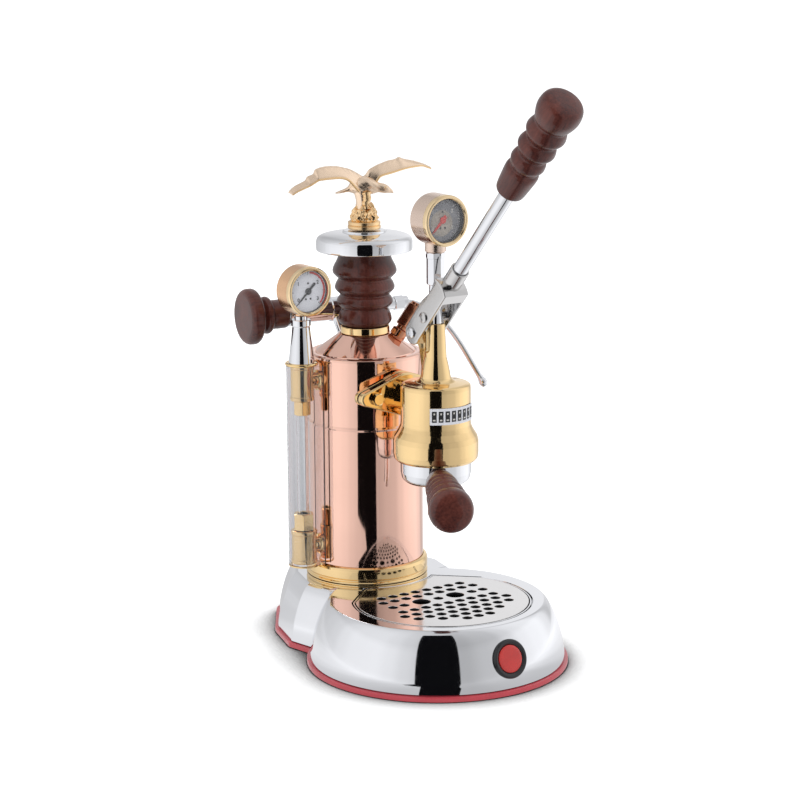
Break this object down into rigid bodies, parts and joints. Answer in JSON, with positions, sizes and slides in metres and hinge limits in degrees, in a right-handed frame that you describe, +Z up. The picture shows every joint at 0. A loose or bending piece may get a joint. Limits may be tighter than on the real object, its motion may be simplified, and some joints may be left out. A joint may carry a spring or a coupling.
{
  "type": "lever espresso machine",
  "caption": "Lever espresso machine with a copper boiler, brass group, wooden handles, two dial gauges, sight glass, steam wand and a bird on the filler cap.",
  "frame": {"origin": "underside of the base, below the axis of the boiler", "axes": "+Z up along the boiler axis, -Y towards the drip tray and the user, +X towards the steam wand"},
  "size_m": [0.1994, 0.3487, 0.4514],
  "materials": {
    "red_paint": "satin red enamel on the bottom cover",
    "chrome": "polished chrome plating",
    "satin_steel": "satin nickel and steel",
    "steel": "plain machined steel",
    "copper": "polished copper plating",
    "rose_copper": "polished red brass",
    "gold_brass": "polished brass plating",
    "wood": "dark varnished turned wood",
    "rubber": "black rubber",
    "red_lens": "translucent red plastic",
    "black_plastic": "black moulded plastic",
    "dial_pale": "pale printed dial",
    "dial_dark": "grey printed dial",
    "needle_black": "black pointer",
    "needle_red": "red pointer",
    "glass": "clear glass and clear plastic"
  },
  "bodies": {
    "root": {"bottom_cover": "red_paint", "base_shell": "chrome", "switch_bezel": "black_plastic", "cable_gland": "rubber", "boiler_tank": "copper", "boiler_foot_ring": "gold_brass", "boiler_collar": "gold_brass", "boiler_ring_nut": "steel", "heating_element": "steel", "pressurestat": "black_plastic", "sight_top_fitting": "gold_brass", "sight_bottom_fitting": "gold_brass", "sight_top_nut": "gold_brass", "sight_bottom_nut": "gold_brass", "sight_glass": "glass", "sight_guard": "glass", "gauge_stem": "chrome", "boiler_gauge_case": "rose_copper", "boiler_gauge_lens": "glass", "boiler_gauge_dial": "dial_pale", "steam_valve_body": "chrome", "wand_nut": "chrome", "safety_valve": "rose_copper", "group_body": "gold_brass", "flange_gasket": "rubber", "flange_bolt_left": "gold_brass", "flange_bolt_right": "gold_brass", "shower_screen": "steel", "portafilter_gasket": "rubber", "temperature_strip": "satin_steel", "fulcrum_pin": "chrome"},
    "switch_press": {"switch_button": "red_lens"},
    "tray": {"drip_tray": "black_plastic"},
    "grille": {"drip_grille": "satin_steel"},
    "cap_seal": {"cap_gasket": "rubber"},
    "cap": {"cap_plug": "gold_brass", "filler_cap": "wood", "cap_disc": "chrome", "eagle_finial": "rose_copper"},
    "boiler_needle": {"boiler_gauge_pointer": "needle_black"},
    "steam_tap": {"steam_knob": "wood", "steam_spindle": "steel"},
    "wand": {"steam_wand": "chrome"},
    "lever": {"lever_fork": "satin_steel", "lever_rod": "chrome", "lever_handle": "wood"},
    "piston": {"piston": "steel", "piston_seal_lower": "rubber", "piston_seal_upper": "rubber", "piston_rod": "chrome", "piston_pin": "steel", "gauge_adapter": "chrome", "group_gauge_case": "rose_copper", "group_gauge_lens": "glass", "group_gauge_dial": "dial_dark"},
    "group_needle": {"group_gauge_pointer": "needle_red"},
    "portafilter": {"portafilter_bowl": "chrome", "portafilter_handle": "wood", "portafilter_spout": "chrome", "filter_basket": "steel"}
  },
  "joints": [
    {"name": "switch_travel", "type": "slide", "parent": "root", "child": "switch_press", "axis": [0, 0.9585, -0.2851], "range_m": [0, 0.002], "stiffness_N_per_m": 400},
    {"name": "tray_lift", "type": "slide", "parent": "root", "child": "tray", "axis": [0, 0, 1], "range_m": [0, 0.025]},
    {"name": "grille_lift", "type": "slide", "parent": "tray", "child": "grille", "axis": [0, 0, 1], "range_m": [0, 0.03]},
    {"name": "cap_lift", "type": "slide", "parent": "root", "child": "cap_seal", "axis": [0, 0, 1], "range_m": [0, 0.004]},
    {"name": "cap_turn", "type": "hinge", "parent": "cap_seal", "child": "cap", "pos_m": [0, 0, 0.2463], "axis": [0, 0, 1], "range_deg": [0, 720]},
    {"name": "boiler_needle_turn", "type": "hinge", "parent": "root", "child": "boiler_needle", "pos_m": [-0.0584, -0.0115, 0.28], "axis": [0, 1, 0], "range_deg": [0, 270]},
    {"name": "steam_turn", "type": "hinge", "parent": "root", "child": "steam_tap", "pos_m": [0, 0.033, 0.2546], "axis": [0.9925, -0.1219, 0], "range_deg": [0, 360]},
    {"name": "wand_swing", "type": "hinge", "parent": "root", "child": "wand", "pos_m": [0.05, 0.02686, 0.2546], "axis": [0.9925, -0.1219, 0], "range_deg": [-30, 50]},
    {"name": "lever_swing", "type": "hinge", "parent": "root", "child": "lever", "pos_m": [0, -0.081, 0.2535], "axis": [-1, 0, 0], "range_deg": [-72, 3]},
    {"name": "piston_slide", "type": "slide", "parent": "root", "child": "piston", "axis": [0, 0, 1], "range_m": [-0.0229, 0.001]},
    {"name": "group_needle_turn", "type": "hinge", "parent": "piston", "child": "group_needle", "pos_m": [0, -0.109, 0.3405], "axis": [0, 1, 0], "range_deg": [0, 270]},
    {"name": "portafilter_turn", "type": "hinge", "parent": "root", "child": "portafilter", "pos_m": [0, -0.0965, 0.1625], "axis": [0, 0, 1], "range_deg": [-31, 37]}
  ],
  "couplings": [
    {"joint": "cap_turn", "follows": "cap_lift", "rad_per_m": 3141.6},
    {"joint": "piston_slide", "follows": "lever_swing", "m_per_rad": 0.0182}
  ]
}
